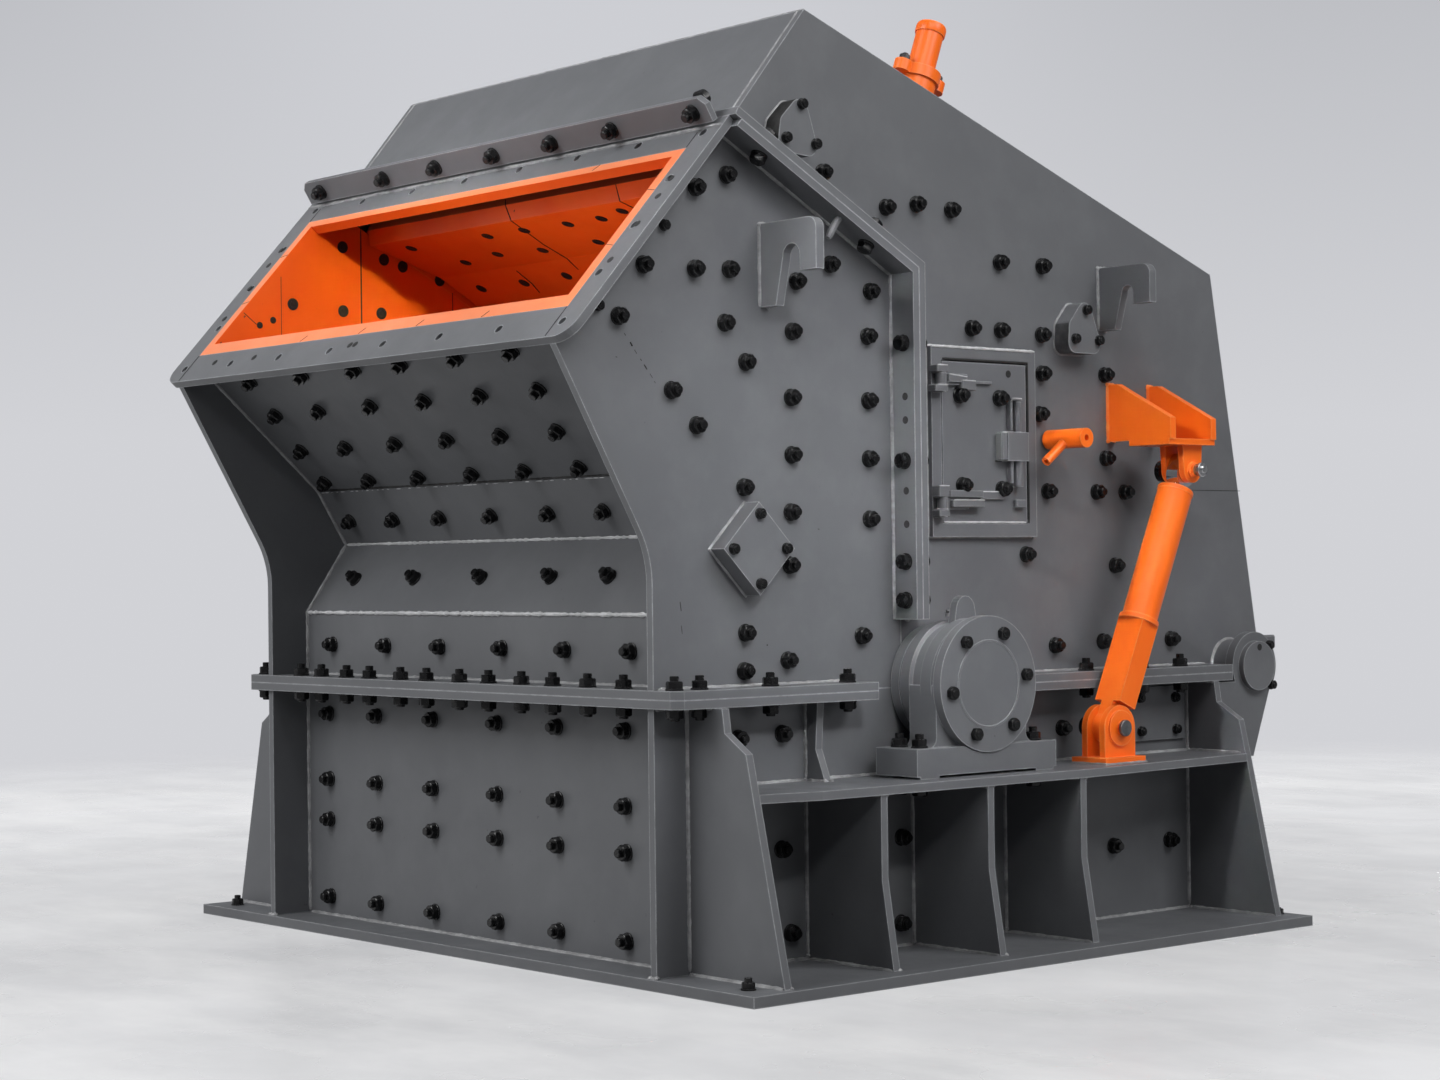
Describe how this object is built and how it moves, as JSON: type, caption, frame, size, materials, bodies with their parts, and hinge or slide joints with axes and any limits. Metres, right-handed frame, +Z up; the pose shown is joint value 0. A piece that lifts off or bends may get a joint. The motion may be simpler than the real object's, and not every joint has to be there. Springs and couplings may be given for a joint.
{
  "type": "impact crusher",
  "caption": "Impact crusher with a sloping feed mouth, a hood that tilts open on cylinders, a bladed rotor in pillow bearings and a ribbed lower frame.",
  "frame": {"origin": "centre of the base plate's underside", "axes": "+X along the rotor to the right-hand side, -Y towards the feed side, +Y towards the hood's hinge, +Z up"},
  "size_m": [2.333, 2.346, 2.2403],
  "materials": {
    "grey_paint": "satin grey paint with worn edges",
    "orange_paint": "semi-gloss orange paint",
    "wear_iron": "bare cast wear iron",
    "rod_chrome": "polished"
  },
  "bodies": {
    "frame": {"base_plate": "grey_paint", "end_walls": "grey_paint", "side_walls": "grey_paint", "side_ribs": "grey_paint", "side_shelves": "grey_paint", "lower_flange": "grey_paint", "hinge_brackets": "grey_paint", "housing_sides": "grey_paint", "chute_wall": "grey_paint", "housing_foot_flange": "grey_paint", "housing_split_flange": "grey_paint", "feed_flange": "grey_paint", "top_beam": "grey_paint", "side_liners": "orange_paint", "feed_liners": "orange_paint", "housing_covers": "grey_paint", "housing_hooks": "grey_paint", "bearings": "grey_paint", "bearing_caps": "grey_paint", "ram_feet": "orange_paint"},
    "hood": {"hood_sides": "grey_paint", "hood_front_plate": "grey_paint", "hood_roof": "grey_paint", "hood_rear_wall": "grey_paint", "hood_foot_flange": "grey_paint", "hood_split_flange": "grey_paint", "hinge_tubes": "grey_paint", "first_apron": "wear_iron", "second_apron": "wear_iron", "hood_covers": "grey_paint", "hood_hooks": "grey_paint", "apron_adjusters": "orange_paint", "ram_brackets": "orange_paint", "door_frames": "grey_paint"},
    "door_right": {"door_right": "grey_paint"},
    "door_left": {"door_left": "grey_paint"},
    "lock_handle_right": {"lock_handle_right": "orange_paint"},
    "lock_handle_left": {"lock_handle_left": "orange_paint"},
    "barrel_right": {"ram_barrel_right": "orange_paint"},
    "barrel_left": {"ram_barrel_left": "orange_paint"},
    "rod_right": {"ram_rod_right": "rod_chrome"},
    "rod_left": {"ram_rod_left": "rod_chrome"},
    "rotor": {"rotor_shaft": "wear_iron", "rotor_discs": "wear_iron", "blow_bars": "wear_iron"}
  },
  "joints": [
    {"name": "hood_open", "type": "hinge", "parent": "frame", "child": "hood", "pos_m": [0, 1.024, 0.645], "axis": [-1, 0, 0], "range_deg": [0, 45]},
    {"name": "door_right_swing", "type": "hinge", "parent": "hood", "child": "door_right", "pos_m": [0.83, -0.058, 1.2095], "axis": [0, 0, -1], "range_deg": [0, 90]},
    {"name": "door_left_swing", "type": "hinge", "parent": "hood", "child": "door_left", "pos_m": [-0.83, -0.058, 1.2095], "axis": [0, 0, 1], "range_deg": [0, 90]},
    {"name": "lock_right_turn", "type": "hinge", "parent": "hood", "child": "lock_handle_right", "pos_m": [0.868, 0.34, 1.222], "axis": [1, 0, 0], "range_deg": [0, 90]},
    {"name": "lock_left_turn", "type": "hinge", "parent": "hood", "child": "lock_handle_left", "pos_m": [-0.868, 0.34, 1.222], "axis": [1, 0, 0], "range_deg": [0, 90]},
    {"name": "barrel_right_pivot", "type": "hinge", "parent": "frame", "child": "barrel_right", "pos_m": [0.946, 0.386, 0.516], "axis": [-1, 0, 0], "range_deg": [0, 21]},
    {"name": "barrel_left_pivot", "type": "hinge", "parent": "frame", "child": "barrel_left", "pos_m": [-0.946, 0.386, 0.516], "axis": [-1, 0, 0], "range_deg": [0, 21]},
    {"name": "rod_right_slide", "type": "slide", "parent": "barrel_right", "child": "rod_right", "axis": [0, 0.4122, 0.9111], "range_m": [0, 0.364]},
    {"name": "rod_left_slide", "type": "slide", "parent": "barrel_left", "child": "rod_left", "axis": [0, 0.4122, 0.9111], "range_m": [0, 0.364]},
    {"name": "rotor_spin", "type": "hinge", "parent": "frame", "child": "rotor", "pos_m": [0, -0.074, 0.64], "axis": [1, 0, 0], "continuous": true}
  ],
  "couplings": [
    {"joint": "barrel_right_pivot", "follows": "hood_open", "ratio": 0.4655},
    {"joint": "barrel_left_pivot", "follows": "hood_open", "ratio": 0.4655},
    {"joint": "rod_right_slide", "follows": "hood_open", "m_per_rad": 0.4627},
    {"joint": "rod_left_slide", "follows": "hood_open", "m_per_rad": 0.4627}
  ]
}
